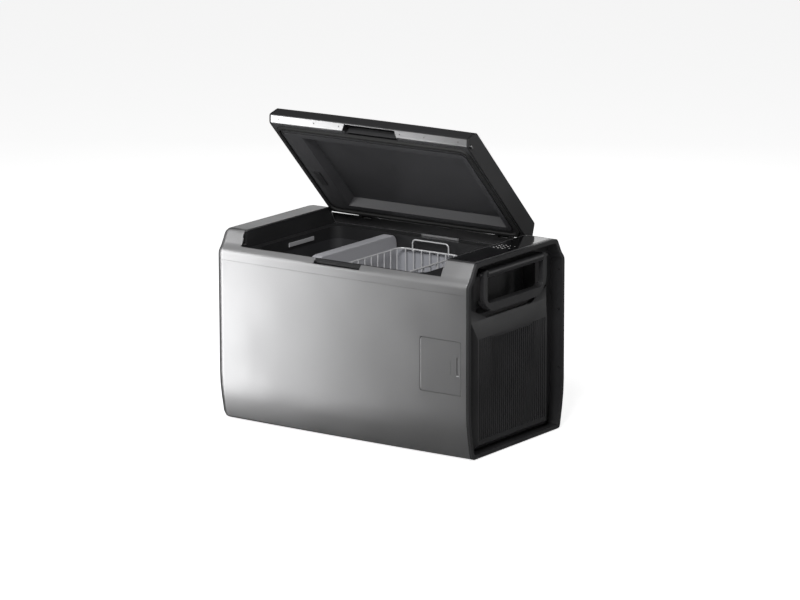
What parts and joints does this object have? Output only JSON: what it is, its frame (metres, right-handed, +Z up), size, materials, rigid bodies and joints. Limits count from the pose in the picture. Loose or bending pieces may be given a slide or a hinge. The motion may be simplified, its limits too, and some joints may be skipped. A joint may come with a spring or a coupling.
{
  "type": "compressor cooler",
  "caption": "Portable compressor cooler chest with hinged latching lid, divided tub, wire basket, drop handles, side grille and front hatch.",
  "frame": {"origin": "centre of the bounding box footprint, on the surface the feet stand on", "axes": "+X towards the machine room end with the air grille, -Y front with the lid latch, +Y hinge side, +Z up"},
  "size_m": [0.7, 0.3984, 0.709],
  "materials": {
    "silver_paint": "satin metallic",
    "graphite_paint": "satin metallic",
    "black_moulding": "fine matt texture",
    "dark_liner": "smooth satin",
    "light_grey_moulding": "smooth satin",
    "panel_glass": "gloss",
    "rubber": "matt",
    "foam": "rough foam",
    "steel": "brushed",
    "coated_wire": "smooth coat",
    "copper": "drawn tube",
    "aluminium": "plain",
    "circuit_board": "solder mask",
    "compressor_paint": "gloss black",
    "battery_case": "matt",
    "lamp_lens": "frosted"
  },
  "bodies": {
    "cabinet": {"outer_shell": "silver_paint", "top_frame": "silver_paint", "rear_grip": "silver_paint", "rim_collar": "black_moulding", "left_handle_pocket": "black_moulding", "right_end_frame": "black_moulding", "air_grille": "black_moulding", "right_handle_cup": "black_moulding", "right_handle_barrel": "black_moulding", "battery_bay": "black_moulding", "socket_plate": "black_moulding", "base_pan": "black_moulding", "hinge_rail": "black_moulding", "fan_frame": "black_moulding", "tub_liner": "dark_liner", "cold_plate": "light_grey_moulding", "zone_divider": "light_grey_moulding", "lamp_lens": "lamp_lens", "insulation_block": "foam", "wire_basket": "coated_wire", "control_glass": "panel_glass", "display_board": "circuit_board", "control_board": "circuit_board", "battery_pack": "battery_case", "dc_inlet_core": "steel", "striker_left": "steel", "striker_right": "steel", "hinge_pin_left": "steel", "hinge_pin_right": "steel", "compressor": "compressor_paint", "compressor_mount": "steel", "condenser": "aluminium", "suction_line": "copper", "foot_front_left": "rubber", "foot_front_right": "rubber", "foot_rear_left": "rubber", "foot_rear_right": "rubber"},
    "lid": {"lid_skin": "graphite_paint", "latch_strip_left": "silver_paint", "latch_strip_right": "silver_paint", "lid_sensor": "black_moulding", "lid_end_cap_left": "black_moulding", "lid_end_cap_right": "black_moulding", "lid_liner": "dark_liner", "lid_foam": "foam", "lid_gasket": "rubber", "latch_housing": "black_moulding", "hinge_ear_left": "black_moulding", "hinge_ear_right": "black_moulding"},
    "paddle": {"release_paddle": "black_moulding"},
    "bolt_left": {"latch_bolt_left": "steel"},
    "bolt_right": {"latch_bolt_right": "steel"},
    "handle_right": {"right_handle": "black_moulding"},
    "handle_left": {"left_handle": "black_moulding"},
    "hatch": {"hatch_door": "silver_paint"},
    "fan": {"fan_impeller": "black_moulding"}
  },
  "joints": [
    {"name": "lid_hinge", "type": "hinge", "parent": "cabinet", "child": "lid", "pos_m": [0, 0.1965, 0.4275], "axis": [-1, 0, 0], "range_deg": [-46, 54]},
    {"name": "release_paddle_pull", "type": "hinge", "parent": "lid", "child": "paddle", "pos_m": [-0.0005, -0.05498, 0.68719], "axis": [-1, 0, 0], "range_deg": [0, 18]},
    {"name": "latch_bolt_left_slide", "type": "slide", "parent": "lid", "child": "bolt_left", "axis": [1, 0, 0], "range_m": [0, 0.0065], "stiffness_N_per_m": 120},
    {"name": "latch_bolt_right_slide", "type": "slide", "parent": "lid", "child": "bolt_right", "axis": [-1, 0, 0], "range_m": [0, 0.0065]},
    {"name": "right_handle_swing", "type": "hinge", "parent": "cabinet", "child": "handle_right", "pos_m": [0.338, 0, 0.412], "axis": [0, -1, 0], "range_deg": [0, 100]},
    {"name": "left_handle_swing", "type": "hinge", "parent": "cabinet", "child": "handle_left", "pos_m": [-0.336, 0, 0.354], "axis": [0, 1, 0], "range_deg": [0, 95]},
    {"name": "hatch_swing", "type": "hinge", "parent": "cabinet", "child": "hatch", "pos_m": [0.2232, -0.19296, 0.211], "axis": [0, 0, -1], "range_deg": [0, 100]},
    {"name": "fan_spin", "type": "hinge", "parent": "cabinet", "child": "fan", "pos_m": [0.305, 0.03, 0.222], "axis": [1, 0, 0], "continuous": true}
  ],
  "couplings": [
    {"joint": "release_paddle_pull", "follows": "latch_bolt_left_slide", "rad_per_m": 48.3},
    {"joint": "latch_bolt_right_slide", "follows": "latch_bolt_left_slide", "ratio": 1}
  ]
}
